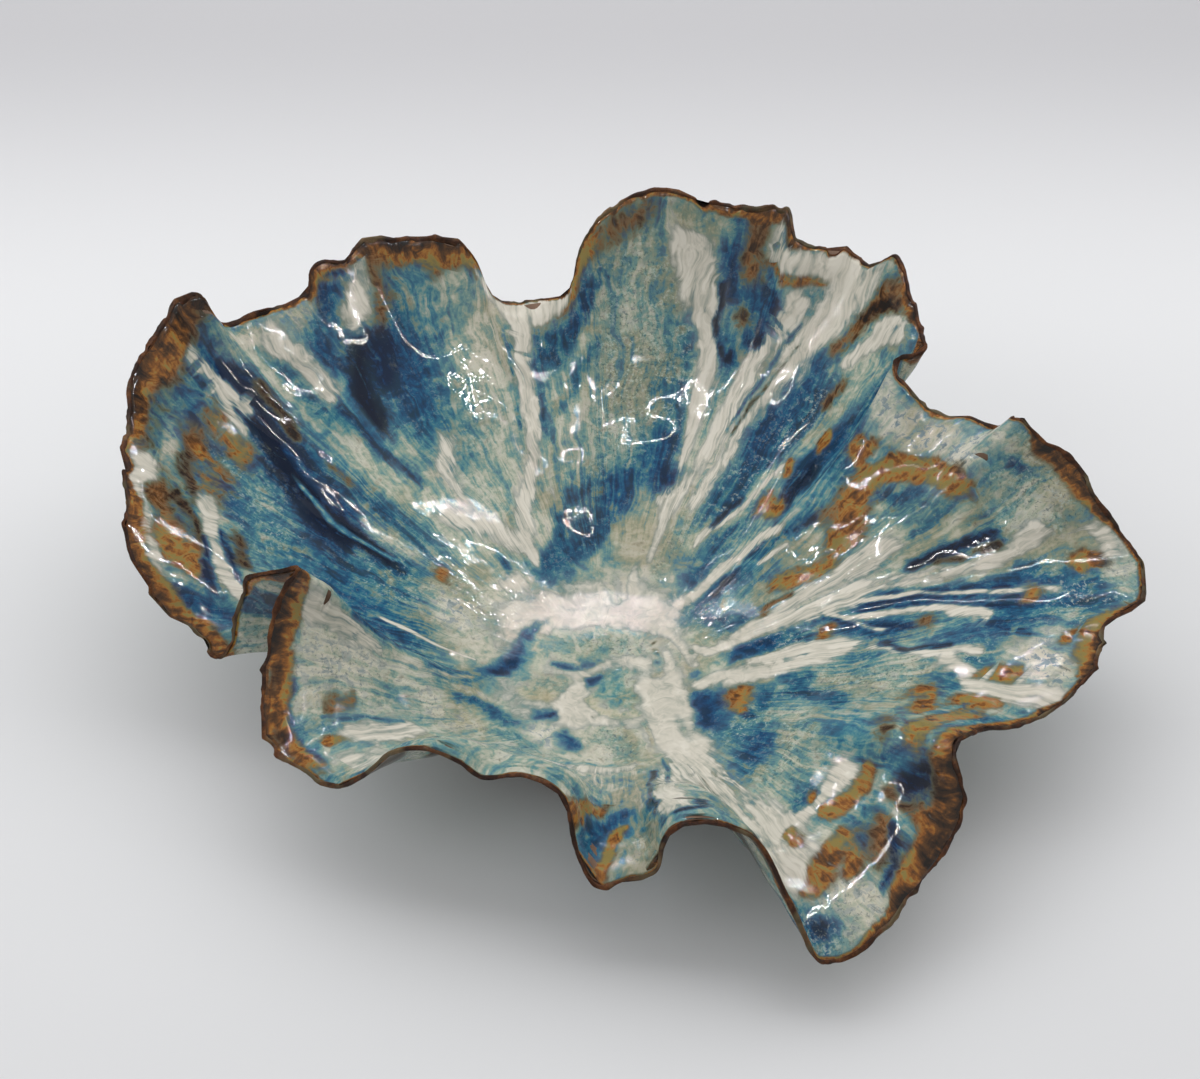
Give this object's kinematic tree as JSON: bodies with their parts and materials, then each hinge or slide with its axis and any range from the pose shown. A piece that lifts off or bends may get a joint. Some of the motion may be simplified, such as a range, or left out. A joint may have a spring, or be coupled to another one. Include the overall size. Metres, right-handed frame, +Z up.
{
  "type": "ruffled ceramic bowl",
  "caption": "Free-form centrepiece bowl: a thin folded stoneware wall with a torn, ruffled rim and layered reactive glaze, on a low turned foot ring.",
  "frame": {"origin": "middle of the bowl's box, at the height of the surface it stands on", "axes": "+Z up, +X to the right along the bowl's length, +Y from the low front lobes to the tall back petals"},
  "size_m": [0.3798, 0.3182, 0.1103],
  "materials": {
    "stoneware_clay": "fired brown stoneware, matte",
    "bare_foot_clay": "bare turned stoneware, matte",
    "inner_reactive_glaze": "high gloss, layered cream, teal and cobalt that run and break over the folds",
    "outer_glaze": "glossy speckled grey green that breaks to brown",
    "iron_rim_wash": "iron oxide wash, satin to rough, brown to black"
  },
  "bodies": {
    "root": {"clay_body": "stoneware_clay", "foot_ring": "bare_foot_clay", "inner_glaze": "inner_reactive_glaze", "outer_glaze": "outer_glaze", "rim_wash": "iron_rim_wash"}
  },
  "joints": []
}
